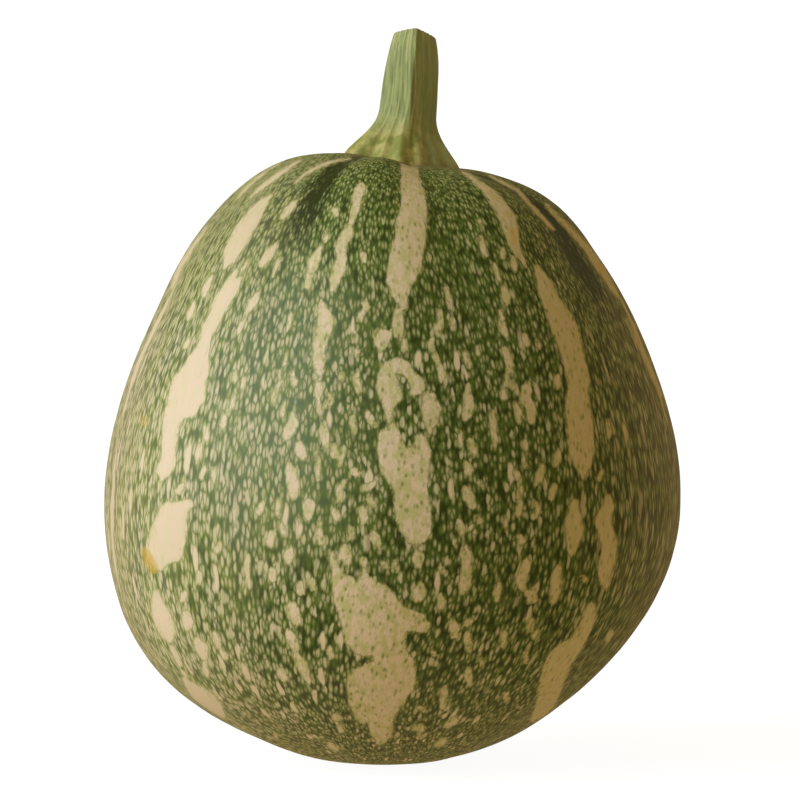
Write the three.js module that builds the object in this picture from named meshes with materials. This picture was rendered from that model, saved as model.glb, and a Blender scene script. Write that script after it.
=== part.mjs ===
// A mottled green squash standing on its blossom end, with the stalk it was cut by.
// Millimetres, +Z up. The origin is on the ground below the middle of the fruit, and the side
// that is seen first faces -Y. A turn round the fruit is measured from -Y towards +X.
import * as THREE from 'three';
import { mergeVertices } from 'three/addons/utils/BufferGeometryUtils.js';

const { degToRad, lerp, smoothstep } = THREE.MathUtils;

// Fruit: heights are above the ground, radii are on the tops of the ribs
const WIDEST_RADIUS = 89.7;
const WIDEST_HEIGHT = 79.7;
const SHOULDER_RADIUS = 63.7;
const SHOULDER_HEIGHT = 158.3;
const CROWN_HEIGHT = 184.5;
const FOOT_OUTER_RADIUS = 14.5;
const FOOT_INNER_RADIUS = 10;
const SCAR_RADIUS = 5;
const SCAR_HEIGHT = 1.9;
const SCAR_GROOVE_WIDTH = 1.2;
const SCAR_GROOVE_HEIGHT = 2.4;

// Ribs: how deep the furrows between them are, and where they start, deepen and run out
const RIB_COUNT = 8;
const FIRST_RIDGE = degToRad(-5);
const FURROW_SOFTNESS = 0.35;
const BELLY_FURROW = 1.5;
const WIDEST_FURROW = 0.9;
const SHOULDER_FURROW = 2.4;
const BELLY_FURROW_HEIGHT = 15;
const SHOULDER_FURROW_FROM = 105;
const SHOULDER_FURROW_HEIGHT = 172;
const FURROW_FOOT_RADIUS = 40;
const FURROW_CROWN_INNER = 6;
const FURROW_CROWN_OUTER = 36;

// Uneven growth: the belly hangs to one side, and the crown is higher on that side
const BELLY_LEAN = -4.7;
const BELLY_LEAN_HEIGHT = 23;
const BELLY_LEAN_SPAN = 31;
const CROWN_TILT = 2.9;
const CROWN_TILT_SOFTNESS = 13.8;
const CROWN_TILT_INNER = 28;
const CROWN_TILT_OUTER = 62;

// Stalk: five-angled, flared where it joins the crown and cut off on a slant
const STALK_FOOT_RADIUS = 18.8;
const STALK_NECK_RADIUS = 9.35;
const STALK_NECK_HEIGHT = 16;
const STALK_TOP_RADIUS = 6.8;
const STALK_HEIGHT = 41;
const STALK_FOOT_X = 2.6;
const STALK_LEAN = 4;
const STALK_LEAN_CURVE = 0.8;
const STALK_SIDES = 5;
const STALK_FIRST_ARRIS = degToRad(5);
const STALK_ANGULARITY = 0.75;
const STALK_FOOT_LOBES = 0.16;
const CUT_HEIGHT = 228;
const CUT_SLANT = 0.44;
const CUT_SIDE_SLANT = 0.08;
const STALK_GAP = 0.3;

// Fineness
const FRUIT_SECTORS = 80;
const STALK_SECTORS = 40;
const STALK_UNDERSIDE_RINGS = 6;

const curve = (...points) =>
  new THREE.CubicBezierCurve(...points.map(([radius, height]) => new THREE.Vector2(radius, height)));

// One closed skin: corners that coincide are merged, and the triangles that a ring shrunk to a
// point leaves without any area are dropped.
function closedSkin(geometry) {
  geometry.deleteAttribute('normal');
  geometry.deleteAttribute('uv');
  const skin = mergeVertices(geometry);
  const corners = skin.index.array;
  const kept = [];
  for (let i = 0; i < corners.length; i += 3) {
    const [a, b, c] = corners.slice(i, i + 3);
    if (a !== b && b !== c && c !== a) kept.push(a, b, c);
  }
  skin.setIndex(kept);
  skin.computeVertexNormals();
  return skin;
}

// Turns a half outline about the axis and puts every corner where shape() says it grew.
function grown(outline, sectors, shape) {
  const geometry = new THREE.LatheGeometry(outline, sectors).rotateX(Math.PI / 2);
  const { position, normal } = geometry.attributes;
  const outward = new THREE.Vector3();
  for (let i = 0; i < position.count; i++) {
    const { x: radius, y: height } = outline[i % outline.length];
    const turn = (Math.floor(i / outline.length) / sectors) * 2 * Math.PI;
    outward.fromBufferAttribute(normal, i);
    const { x, y, z } = shape(radius, height, turn, outward);
    position.setXYZ(i, x, y, z);
  }
  return closedSkin(geometry);
}

// Half outline of the fruit, from the scar of the flower, over the flat foot ring and the belly,
// to the crown. Each stretch leaves its first point and reaches its last one along the two between.
function fruitOutline() {
  const belly = curve(
    [FOOT_OUTER_RADIUS, 0],
    [44.6, 2.6],
    [WIDEST_RADIUS, 30.7],
    [WIDEST_RADIUS, WIDEST_HEIGHT],
  );
  const flank = curve(
    [WIDEST_RADIUS, WIDEST_HEIGHT],
    [WIDEST_RADIUS, 102.3],
    [80.8, 131.5],
    [SHOULDER_RADIUS, SHOULDER_HEIGHT],
  );
  const shoulder = curve(
    [SHOULDER_RADIUS, SHOULDER_HEIGHT],
    [53, 175],
    [36.8, 192.5],
    [0, CROWN_HEIGHT],
  );
  return [
    new THREE.Vector2(0, SCAR_HEIGHT),
    new THREE.Vector2(SCAR_RADIUS, SCAR_HEIGHT),
    new THREE.Vector2(SCAR_RADIUS + SCAR_GROOVE_WIDTH, SCAR_GROOVE_HEIGHT),
    new THREE.Vector2(FOOT_INNER_RADIUS, 0),
    ...belly.getPoints(12),
    ...flank.getPoints(9).slice(1),
    ...shoulder.getPoints(11).slice(1),
  ];
}

// How far below the tops of the ribs the surface lies: 0 on a ridge, 1 in the furrow between two.
function furrow(turn) {
  const ridge = Math.cos((RIB_COUNT / 2) * (turn - FIRST_RIDGE));
  return 1 - Math.hypot(ridge, FURROW_SOFTNESS) / Math.hypot(1, FURROW_SOFTNESS);
}

// Furrows start at the foot, are shallow at the widest ring, deepest on the shoulder, and run out
// under the stalk.
function furrowDepth(radius, height) {
  const aboveBelly = smoothstep(height, BELLY_FURROW_HEIGHT, WIDEST_HEIGHT);
  const aboveFlank = smoothstep(height, SHOULDER_FURROW_FROM, SHOULDER_FURROW_HEIGHT);
  const sides = lerp(lerp(BELLY_FURROW, WIDEST_FURROW, aboveBelly), SHOULDER_FURROW, aboveFlank);
  const isUpperHalf = height > WIDEST_HEIGHT;
  const fromFoot = smoothstep(radius, FOOT_OUTER_RADIUS, FURROW_FOOT_RADIUS);
  const fromCrown = smoothstep(radius, FURROW_CROWN_INNER, FURROW_CROWN_OUTER);
  return sides * (isUpperHalf ? fromCrown : fromFoot);
}

function growFruit(radius, height, turn, outward) {
  const point = new THREE.Vector3(radius * Math.sin(turn), -radius * Math.cos(turn), height);
  point.addScaledVector(outward, -furrowDepth(radius, height) * furrow(turn));
  if (height > SHOULDER_HEIGHT) {
    const nearCrown = 1 - smoothstep(radius, CROWN_TILT_INNER, CROWN_TILT_OUTER);
    point.z -= CROWN_TILT * nearCrown * (point.x / Math.hypot(point.x, CROWN_TILT_SOFTNESS));
  }
  const leanSteps = (height - BELLY_LEAN_HEIGHT) / BELLY_LEAN_SPAN;
  point.x += BELLY_LEAN * Math.exp(-(leanSteps ** 2));
  return point;
}

const rind = new THREE.MeshStandardMaterial({ color: '#7c8a55', roughness: 0.45, metalness: 0 });
const fruit = new THREE.Mesh(grown(fruitOutline(), FRUIT_SECTORS, growFruit), rind);
fruit.name = 'fruit';

// Height of the crown under a point, found by dropping a ray on the fruit.
function crownHeight(x, y) {
  const start = new THREE.Vector3(x, y, 2 * CUT_HEIGHT);
  const ray = new THREE.Raycaster(start, new THREE.Vector3(0, 0, -1));
  return ray.intersectObject(fruit)[0].point.z;
}

// Half outline of the stalk: its underside, the flare, the shaft and the cut.
function stalkOutline() {
  const flare = curve(
    [STALK_FOOT_RADIUS, 0],
    [16.6, 4.5],
    [9.9, 9],
    [STALK_NECK_RADIUS, STALK_NECK_HEIGHT],
  );
  const shaft = curve(
    [STALK_NECK_RADIUS, STALK_NECK_HEIGHT],
    [8.95, 25],
    [9.05, 32],
    [STALK_TOP_RADIUS, STALK_HEIGHT],
  );
  const underside = new THREE.LineCurve(new THREE.Vector2(0, 0), new THREE.Vector2(STALK_FOOT_RADIUS, 0));
  return [
    ...underside.getPoints(STALK_UNDERSIDE_RINGS),
    ...flare.getPoints(7).slice(1),
    ...shaft.getPoints(8).slice(1),
    new THREE.Vector2(STALK_TOP_RADIUS / 2, STALK_HEIGHT),
    new THREE.Vector2(0, STALK_HEIGHT),
  ];
}

// Section of the stalk as a share of its radius: a soft pentagon on the shaft, five lobes at the foot.
function stalkSection(turn, rise) {
  const side = (2 * Math.PI) / STALK_SIDES;
  const steps = (turn - STALK_FIRST_ARRIS) / side;
  const fromArris = Math.abs(steps - Math.round(steps)) * side;
  const pentagon = Math.cos(side / 2) / Math.cos(side / 2 - fromArris);
  const shaft = 1 - STALK_ANGULARITY * (1 - pentagon);
  const foot = 1 - STALK_FOOT_LOBES * (0.5 - 0.5 * Math.cos(STALK_SIDES * fromArris));
  return lerp(foot, shaft, smoothstep(rise, 0, STALK_NECK_HEIGHT / STALK_HEIGHT));
}

function growStalk(radius, height, turnFromArris) {
  const turn = turnFromArris + STALK_FIRST_ARRIS;
  const rise = height / STALK_HEIGHT;
  const reach = radius * stalkSection(turn, rise);
  const x = STALK_FOOT_X + STALK_LEAN * rise ** STALK_LEAN_CURVE + reach * Math.sin(turn);
  const y = -reach * Math.cos(turn);
  const footReach = height > 0 ? STALK_FOOT_RADIUS * stalkSection(turn, 0) : reach;
  const footX = STALK_FOOT_X + footReach * Math.sin(turn);
  const footY = -footReach * Math.cos(turn);
  const foot = crownHeight(footX, footY) + STALK_GAP;
  const cut = CUT_HEIGHT - CUT_SLANT * (y + STALK_TOP_RADIUS) - CUT_SIDE_SLANT * x;
  return new THREE.Vector3(x, y, lerp(foot, cut, rise));
}

const stalkSkin = new THREE.MeshStandardMaterial({ color: '#8b8f57', roughness: 0.6, metalness: 0 });
const stem = new THREE.Mesh(grown(stalkOutline(), STALK_SECTORS, growStalk), stalkSkin);
stem.name = 'stem';

const squash = new THREE.Group();
squash.add(fruit, stem);

export default squash;
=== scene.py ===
# %% [markdown]
# # A mottled squash with its stalk
# The fruit stands on its blossom end. It has eight shallow ribs, a green rind full of pale flecks
# and blotches, and a short five-angled stalk that flares where it joins the crown.
# Two pieces are made here, the rind and the stalk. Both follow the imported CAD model, which gives
# the frame: metres, +Z up, the side seen first facing -Y.

# %% Load the frame
import math
import random

import bmesh
import bpy
import numpy as np
from mathutils import Matrix, Vector, noise
from mathutils.bvhtree import BVHTree
from mathutils.geometry import interpolate_bezier


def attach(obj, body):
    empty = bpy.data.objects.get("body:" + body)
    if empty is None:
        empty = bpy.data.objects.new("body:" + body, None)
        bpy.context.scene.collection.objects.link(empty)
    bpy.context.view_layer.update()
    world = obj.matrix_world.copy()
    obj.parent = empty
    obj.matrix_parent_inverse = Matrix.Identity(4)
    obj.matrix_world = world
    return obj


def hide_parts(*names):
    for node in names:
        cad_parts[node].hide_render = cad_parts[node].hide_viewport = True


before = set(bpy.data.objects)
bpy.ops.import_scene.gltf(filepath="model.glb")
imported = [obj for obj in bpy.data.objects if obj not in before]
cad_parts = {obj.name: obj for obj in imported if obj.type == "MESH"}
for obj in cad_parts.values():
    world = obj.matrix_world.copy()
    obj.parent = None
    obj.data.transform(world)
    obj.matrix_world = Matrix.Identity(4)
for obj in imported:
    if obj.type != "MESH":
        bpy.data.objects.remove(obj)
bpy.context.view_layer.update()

MM = 0.001

# %% [markdown]
# ## The camera
# The picture is 800 pixels square and was taken from afar, a little above level. A long lens at
# 1.2 m gives the same flat look. The camera comes first, because the marks on the rind are placed
# by the pixels where they show: `pixels_of` tells where any point of the scene falls.

# %% Camera
PICTURE = 800                             # pixels along one side of the picture
PIXEL = 0.3114 * MM                       # what one pixel spans at the fruit's axis
AXIS_POINT = Vector((0, 0, 115)) * MM     # a point of the axis, and the pixel where it shows
AXIS_PIXEL = Vector((393, 390.84))
CAMERA_DISTANCE = 1.2
CAMERA_RISE = math.radians(2)

sight = Vector((0, math.cos(CAMERA_RISE), -math.sin(CAMERA_RISE)))
upward = Vector((0, math.sin(CAMERA_RISE), math.cos(CAMERA_RISE)))
rightward = Vector((1, 0, 0))

lens = bpy.data.cameras.new("camera")
lens.sensor_width = 36
lens.lens = lens.sensor_width * CAMERA_DISTANCE / (PICTURE * PIXEL)
camera = bpy.data.objects.new("camera", lens)
aim_right, aim_down = (Vector((PICTURE / 2, PICTURE / 2)) - AXIS_PIXEL) * PIXEL
camera.location = AXIS_POINT + rightward * aim_right - upward * aim_down - sight * CAMERA_DISTANCE
camera.rotation_euler = (math.pi / 2 - CAMERA_RISE, 0, 0)
bpy.context.collection.objects.link(camera)
bpy.context.scene.camera = camera


def pixels_of(points):
    """Where points fall in the picture, in pixels from its top left corner."""
    away = points - np.array(camera.location)
    spread = CAMERA_DISTANCE / PIXEL / (away @ np.array(sight))
    across = PICTURE / 2 + away @ np.array(rightward) * spread
    down = PICTURE / 2 - away @ np.array(upward) * spread
    return np.stack([across, down], axis=1)


print("lens in mm:", round(lens.lens, 1))

# %% [markdown]
# ## Turned shapes
# Fruit and stalk are both grown round an axis, so each starts as half an outline that is spun.
# Bezier stretches give the outline its smooth sweep. Each point also keeps how far along the
# outline it lies, because the rind's pattern is stretched along that way.

# %% Outline and spin
UP = Vector((0, 0, 1))


def on_outline(radius, height):
    """A point of a half outline, in the plane that faces the camera."""
    return Vector((0, -radius, height)) * MM


def sweep(start, leaving, reaching, end, steps):
    """Points of a smooth stretch of outline, without its first one."""
    return interpolate_bezier(*(on_outline(*p) for p in (start, leaving, reaching, end)), steps + 1)[1:]


def wedge(outline, start, angle, columns):
    """A mesh of the outline spun through an angle; each corner keeps its way along the outline."""
    skin = bmesh.new()
    along = skin.verts.layers.float.new("along")
    column = [skin.verts.new(point) for point in outline]
    for before, after in zip(column, column[1:]):
        after[along] = before[along] + (after.co - before.co).length
    row = column + [skin.edges.new(pair) for pair in zip(column, column[1:])]
    bmesh.ops.rotate(skin, verts=column, matrix=Matrix.Rotation(start, 3, UP))
    bmesh.ops.spin(skin, geom=row, axis=UP, angle=angle, steps=columns)
    mesh = bpy.data.meshes.new("wedge")
    skin.to_mesh(mesh)
    skin.free()
    return mesh


def turned(name, outline, wedges, start):
    """A closed piece at the origin: the outline spun through each (angle, columns) in turn."""
    skin = bmesh.new()
    for angle, columns in wedges:
        mesh = wedge(outline, start, angle, columns)
        skin.from_mesh(mesh)
        bpy.data.meshes.remove(mesh)
        start += angle
    bmesh.ops.remove_doubles(skin, verts=skin.verts[:], dist=0.001 * MM)
    bmesh.ops.recalc_face_normals(skin, faces=skin.faces[:])
    mesh = bpy.data.meshes.new(name)
    skin.to_mesh(mesh)
    skin.free()
    mesh.shade_smooth()
    piece = bpy.data.objects.new(name, mesh)
    bpy.context.collection.objects.link(piece)
    print(name, "has", sum(len(face.vertices) - 2 for face in mesh.polygons), "triangles")
    return piece


print("a point of an outline, in metres:", tuple(on_outline(50, 100)))

# %% [markdown]
# ## Shaping with arrays
# The spun corners are then moved all at once, as arrays of places and outward directions. A soft
# step between two limits is the tool for everything that fades in or out.

# %% Arrays of corners
def corners_of(piece):
    """Places and outward directions of a piece's corners."""
    places, outward = np.empty((2, len(piece.data.vertices), 3))
    piece.data.vertices.foreach_get("co", places.ravel())
    piece.data.vertex_normals.foreach_get("vector", outward.ravel())
    return places, outward


def along_of(piece):
    """How far along the outline each corner lies."""
    way = np.empty(len(piece.data.vertices))
    piece.data.attributes["along"].data.foreach_get("value", way)
    return way


def store(piece, name, values):
    """Keeps a number or a vector for every corner, for the finish to read."""
    kind, field = ("FLOAT", "value") if values.ndim == 1 else ("FLOAT_VECTOR", "vector")
    piece.data.attributes.new(name, kind, "POINT").data.foreach_set(field, values.ravel())


def smoothstep(value, low, high):
    """0 up to low, 1 from high on, and a soft rise between."""
    share = np.clip((value - low) / (high - low), 0, 1)
    return share * share * (3 - 2 * share)


def blend(first, second, share):
    """What lies between first and second, at a share from 0 to 1."""
    return first + (second - first) * share


def polar(places):
    """How far from the axis places lie, and their turn round it, from -Y towards +X."""
    return np.hypot(places[:, 0], places[:, 1]), np.arctan2(places[:, 0], -places[:, 1])


print("a soft step from 0 to 1, read at 0.25:", smoothstep(0.25, 0, 1))

# %% [markdown]
# ## The rind's shape
# The outline runs from the scar of the flower over the flat foot, the belly and the shoulder to
# the crown. A subdivided ball could be pulled into shape too, but a spun outline follows the CAD
# model exactly. The side that the camera sees gets 256 of the 360 columns, because its marks are
# stored on the mesh's corners and need them close together.

# %% Rind outline
FRONT_SPAN = math.radians(200)            # the part of the turn that has the closer columns
SCAR_POINTS = [(0, 1.9), (2.5, 1.9), (5, 1.9), (5.7, 2.2), (6.4, 2.4), (7.2, 2.2)]

rind_outline = [on_outline(*point) for point in SCAR_POINTS]
rind_outline += sweep((7.2, 2.2), (8.4, 1.5), (8.9, 0), (10, 0), 4)
rind_outline += sweep((10, 0), (11.5, 0), (13, 0), (14.5, 0), 3)
rind_outline += sweep((14.5, 0), (44.6, 2.6), (89.7, 30.7), (89.7, 79.7), 98)
rind_outline += sweep((89.7, 79.7), (89.7, 102.3), (80.8, 131.5), (63.7, 158.3), 80)
rind_outline += sweep((63.7, 158.3), (53, 175), (36.8, 192.5), (0, 184.5), 76)
front_wedges = [(FRONT_SPAN / 8, 32)] * 8
back_wedges = [((2 * math.pi - FRONT_SPAN) / 4, 26)] * 4
rind = turned("rind", rind_outline, front_wedges + back_wedges, -FRONT_SPAN / 2)

# %% [markdown]
# ## Ribs and uneven growth
# A lathe alone would give a bottle. Furrows press in between eight ridges, deepest on the
# shoulder; the belly hangs to one side, the crown is higher on that side, and soft lumps keep the
# outline from looking machined. Sculpting would do it too, but moving the spun corners by a rule
# keeps the mesh closed and even.

# %% Grow the rind
RIB_COUNT = 8
FIRST_RIDGE = math.radians(-5)
FURROW_SOFTNESS = 0.35
WIDEST_RADIUS = 89.7 * MM
WIDEST_HEIGHT = 79.7 * MM
SHOULDER_HEIGHT = 158.3 * MM
BELLY_FURROW = 1.5 * MM                   # how deep the furrows are at the three heights
WIDEST_FURROW = 0.9 * MM
SHOULDER_FURROW = 2.4 * MM
CROWN_TILT = 2.9 * MM                     # how far the crown rises on the left and sinks on the right
BELLY_LEAN = 4.7 * MM                     # how far belly and shoulder hang to the left
SHOULDER_LEAN = 1.1 * MM
BROAD_LUMPS = 0.45                        # how high the soft lumps are, in millimetres
SMALL_LUMPS = 0.12


def furrow(turn):
    """0 on the ridge of a rib, 1 in the furrow between two."""
    ridge = np.cos(RIB_COUNT / 2 * (turn - FIRST_RIDGE))
    return 1 - np.hypot(ridge, FURROW_SOFTNESS) / math.hypot(1, FURROW_SOFTNESS)


def furrow_depth(radius, height):
    """Furrows start at the foot, are shallow where the fruit is widest and run out under the stalk."""
    sides = blend(BELLY_FURROW, WIDEST_FURROW, smoothstep(height, 15 * MM, WIDEST_HEIGHT))
    sides = blend(sides, SHOULDER_FURROW, smoothstep(height, 105 * MM, 172 * MM))
    from_foot = smoothstep(radius, 14.5 * MM, 40 * MM)
    from_crown = smoothstep(radius, 6 * MM, 36 * MM)
    return sides * np.where(height > WIDEST_HEIGHT, from_crown, from_foot)


def lumps(places, size):
    """Noise from -1 to 1 at every place, with swellings of about the given size."""
    return np.array([noise.noise(place) for place in places / size])


places, outward = corners_of(rind)
height = places[:, 2]
radius, turn = polar(places)
pressed_in = furrow_depth(radius, height) * furrow(turn)
swollen = (BROAD_LUMPS * lumps(places, 38 * MM) + SMALL_LUMPS * lumps(places, 9 * MM)) * MM
swollen *= smoothstep(height, 4 * MM, 20 * MM)
grown = places + outward * (swollen - pressed_in)[:, None]

near_crown = (1 - smoothstep(radius, 28 * MM, 62 * MM)) * (height > SHOULDER_HEIGHT)
grown[:, 2] -= CROWN_TILT * near_crown * grown[:, 0] / np.hypot(grown[:, 0], 13.8 * MM)
grown[:, 0] -= BELLY_LEAN * np.exp(-(((height - 23 * MM) / (31 * MM)) ** 2))
grown[:, 0] -= SHOULDER_LEAN * smoothstep(height, 138 * MM, 162 * MM) * smoothstep(radius, 25 * MM, 45 * MM)
rind.data.vertices.foreach_set("co", grown.ravel())
rind.data.update()
print("furrows press in up to", round(float(pressed_in.max() / MM), 2), "mm")

# %% [markdown]
# ## Coordinates that grew with the fruit
# The flecks are drawn out along the ribs everywhere, more on the belly and the shoulder than at the
# waist, and more at both sides than in front. Object coordinates would cut across the ribs.
# So every corner keeps a place of its own for the pattern: round the axis at a radius that shrinks
# more slowly than the real one, and up by the way along the outline from the waist, squeezed step
# by step. A pattern that is even in these places is drawn out on the fruit.
#
# Four soft masks are kept beside it: the painted shade in the furrows of the shoulder, which reaches
# a different way down each, the crown, the belly, and a bluish painted sheen left of the middle.

# %% Store the growth
RADIUS_POWER = 0.4                        # 1 would follow the real radius, 0 would not shrink at all
BELLY_STRETCH = 1.8                       # how much longer flecks are there than at the waist
SHOULDER_STRETCH = 1.4
FRONT_STRETCH = 2.3                       # how much longer than wide they are in front, at the waist
LEFT_STRETCH = 1.0                        # and what each side adds
RIGHT_STRETCH = 1.5

along = along_of(rind)
upward_order = along.argsort()
stretch = blend(BELLY_STRETCH, 1, smoothstep(height, 10 * MM, 65 * MM))
stretch *= blend(1, SHOULDER_STRETCH, smoothstep(height, 110 * MM, 170 * MM))
squeezed = np.empty(len(along))
squeezed[upward_order] = np.cumsum(np.diff(along[upward_order], prepend=0) / stretch[upward_order])
side_stretch = FRONT_STRETCH + LEFT_STRETCH * smoothstep(places[:, 0], 0, -60 * MM)
side_stretch += RIGHT_STRETCH * smoothstep(places[:, 0], 35 * MM, 80 * MM)
from_waist = (squeezed - squeezed[radius.argmax()]) / side_stretch
pattern_radius = WIDEST_RADIUS * (radius / WIDEST_RADIUS) ** RADIUS_POWER
growth = np.stack([pattern_radius * np.sin(turn), -pattern_radius * np.cos(turn), from_waist], axis=1)
store(rind, "growth", growth / MM)
print("from foot to crown along the outline:", round(float(along.max() / MM), 1), "mm")

# %% Store the masks
# one value for each furrow, from the front to the right: how dark its painted shade is, and down to which
# height in mm
FURROW_SHADE_DARKNESS = [0.2, 0.9, 0.7, 0.5, 0.8, 0.6, 0.2, 0.85]
FURROW_ENDS = [152, 132, 145, 150, 145, 150, 152, 152]
FURROW_FADE = 24 * MM
SHEEN_TURN = math.radians(-18)
SHEEN_SPAN = math.radians(17)

furrow_number = np.floor((turn - FIRST_RIDGE) / (2 * math.pi / RIB_COUNT)).astype(int) % RIB_COUNT
darkness = np.array(FURROW_SHADE_DARKNESS)[furrow_number]
end = np.array(FURROW_ENDS)[furrow_number] * MM
in_groove = smoothstep(furrow(turn), 0.36, 0.66)
store(rind, "furrow", darkness * in_groove * smoothstep(height, end, end + FURROW_FADE))
store(rind, "crown", smoothstep(height, 118 * MM, 172 * MM))
store(rind, "belly", smoothstep(height, 45 * MM, 8 * MM))
# painted sheen: a bluish patch left of the middle, where the key light's reflection shows
painted_sheen = np.exp(-(((turn - SHEEN_TURN) / SHEEN_SPAN) ** 2))
store(rind, "painted_sheen", painted_sheen * smoothstep(height, 168 * MM, 138 * MM) * smoothstep(height, 55 * MM, 95 * MM))
print("share of corners in a dark groove:", round(float((in_groove > 0.5).mean()), 2))

# %% [markdown]
# ## Where the pale marks lie
# The big pale blotches sit on the ridges, and spindle-shaped spots lie between them. Each mark is
# a brush stroke: a row of (across, down, half width), in pixels of the picture. A stroke bends and
# swells as its row says, so one list holds long stripes and small spots alike. A third list holds
# a few yellow stains. An image texture would be quicker, but strokes stay sharp at any size.

# %% Marks in the picture
RIDGE_BLOTCHES = [
    # left ridge, from the shoulder down
    [(271, 195, 2), (262, 204, 5), (254, 216, 8), (243, 232, 9.5), (234, 248, 9), (229, 259, 7),
     (225, 267, 2)],
    [(242, 277, 2), (231, 288, 8.5), (222, 300, 8.5), (217, 312, 8), (211, 325, 8), (206, 338, 6.5),
     (203, 350, 7), (198, 362, 12), (195, 373, 14.5), (189, 384, 17.5), (187, 395, 19), (184, 402, 17),
     (176, 411, 12), (172, 421, 10), (170, 435, 8.5), (168, 450, 8), (168, 462, 8.5), (163, 471, 7.5),
     (161, 481, 1.5)],
    [(187, 505, 6.5), (176, 510, 8), (172, 517, 16), (170, 527, 18), (167, 538, 19), (163, 548, 18),
     (160, 558, 11), (160, 564, 7)],
    [(170, 549, 14), (175, 553, 9)],
    [(156, 592, 3), (157, 602, 7), (160, 613, 9.5), (165, 624, 9.5), (168, 633, 8), (169, 640, 4)],
    [(184, 679, 3), (190, 686, 5), (199, 694, 9), (209, 702, 9), (216, 709, 8), (222, 716, 4)],
    [(300, 160, 2), (285, 170, 2.5), (270, 181, 3), (258, 190, 2.5), (250, 199, 1.5)],
    [(350, 158, 1.5), (335, 161, 2), (319, 166, 2.5), (305, 174, 2), (296, 182, 1.5)],
    [(280, 163, 1), (268, 170, 1.5), (256, 179, 2), (246, 188, 2), (238, 197, 1.5)],
    [(207, 227, 1.5), (194, 245, 2.5), (186, 257, 3), (180, 267, 3.5), (175, 279, 3), (171, 290, 1.5)],
    # middle ridge: from under the stalk
    [(409, 162, 9), (410, 176, 9.5), (412, 190, 11.5), (414, 206, 13.5), (411, 222, 15.5), (410, 238, 16),
     (407, 254, 16.5), (404, 268, 17), (400, 280, 14), (400, 290, 10.5), (402, 300, 6), (404, 306, 4)],
    [(399, 310, 4), (398, 320, 6), (398, 330, 6), (400, 337, 4)],
    [(378, 335, 6), (386, 335, 6), (382, 342, 8), (380, 350, 3)],
    [(384, 366, 3), (386, 376, 9), (388, 386, 12), (390, 395, 12), (389, 404, 7), (389, 412, 3.5),
     (390, 422, 4)],
    [(391, 368, 8), (397, 364, 7), (403, 368, 8), (408, 372, 6)],
    [(408, 374, 4), (415, 381, 7), (418, 386, 8), (414, 393, 4)],
    [(427, 393, 3), (430, 400, 8), (431, 409, 10.5), (431, 418, 8), (430, 427, 5), (430, 433, 2)],
    # middle ridge: the two big blotches at the waist
    [(392, 427, 5), (390, 438, 12), (391, 450, 14), (392, 462, 14), (397, 473, 13), (403, 484, 12)],
    [(407, 452, 6), (408, 464, 9), (408, 476, 9)],
    [(421, 440, 6), (421, 452, 10), (419, 466, 11), (416, 480, 13), (411, 490, 17), (412, 502, 18),
     (413, 514, 18), (415, 524, 17), (417, 530, 14), (410, 539, 5)],
    # middle ridge: the broad blotch on the belly
    [(332, 556, 4), (336, 568, 4.5), (338, 580, 8), (346, 590, 15), (352, 604, 17), (357, 620, 16),
     (358, 634, 16), (364, 643, 14)],
    [(364, 574, 3.5), (366, 583, 7), (376, 594, 13), (384, 606, 16), (390, 618, 18), (390, 632, 16),
     (388, 646, 18), (390, 658, 18), (398, 668, 18), (396, 680, 20), (388, 690, 21), (378, 704, 21),
     (380, 716, 15), (381, 730, 12), (381, 740, 6)],
    [(405, 619, 12), (418, 622, 10), (424, 626, 6.5)],
    [(372, 676, 14), (364, 684, 18), (366, 698, 18), (366, 710, 14)],
    # right ridge
    [(462, 170, 2), (472, 178, 3), (483, 187, 4), (494, 197, 6), (501, 208, 7.5), (508, 220, 8.5),
     (511, 231, 8), (513, 241, 6.5), (517, 250, 4), (523, 259, 3), (526, 267, 2)],
    [(537, 267, 3), (541, 277, 6), (546, 288, 9), (550, 299, 9.5), (555, 310, 10.5), (561, 321, 13),
     (566, 332, 13), (570, 345, 12), (573, 358, 12), (577, 371, 11), (579, 384, 11), (578, 397, 12),
     (578, 410, 12.5), (580, 423, 13.5), (581, 437, 13.5), (582, 450, 13), (583, 460, 10.5),
     (583, 469, 6), (583, 480, 2)],
    [(575, 502, 4), (574, 512, 7), (574, 522, 9), (575, 532, 9), (573, 541, 7.5), (572, 548, 5),
     (572, 556, 2)],
    [(608, 498, 4), (609, 506, 6), (605, 514, 7.5), (602, 522, 8.5), (606, 531, 9), (609, 541, 9.5),
     (609, 552, 9), (607, 563, 8.5), (605, 574, 7.5), (605, 584, 5), (607, 590, 2)],
    [(490, 176, 1.5), (517, 190, 2), (535, 210, 2.5), (553, 229, 2)],
    [(546, 205, 2), (562, 221, 3), (577, 237, 3.5), (590, 252, 4), (600, 267, 4.5), (610, 283, 3.5),
     (618, 297, 2)],
    [(626, 318, 1.5), (634, 335, 2), (641, 350, 2.5), (648, 364, 2.5), (655, 380, 2.5), (661, 396, 2)],
    [(592, 606, 4), (590, 615, 6.5), (587, 624, 7.5), (582, 634, 7), (577, 644, 8), (566, 653, 12),
     (558, 663, 13), (554, 674, 13), (551, 685, 12), (548, 696, 11), (544, 706, 9), (538, 714, 6),
     (533, 720, 3)],
]
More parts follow.
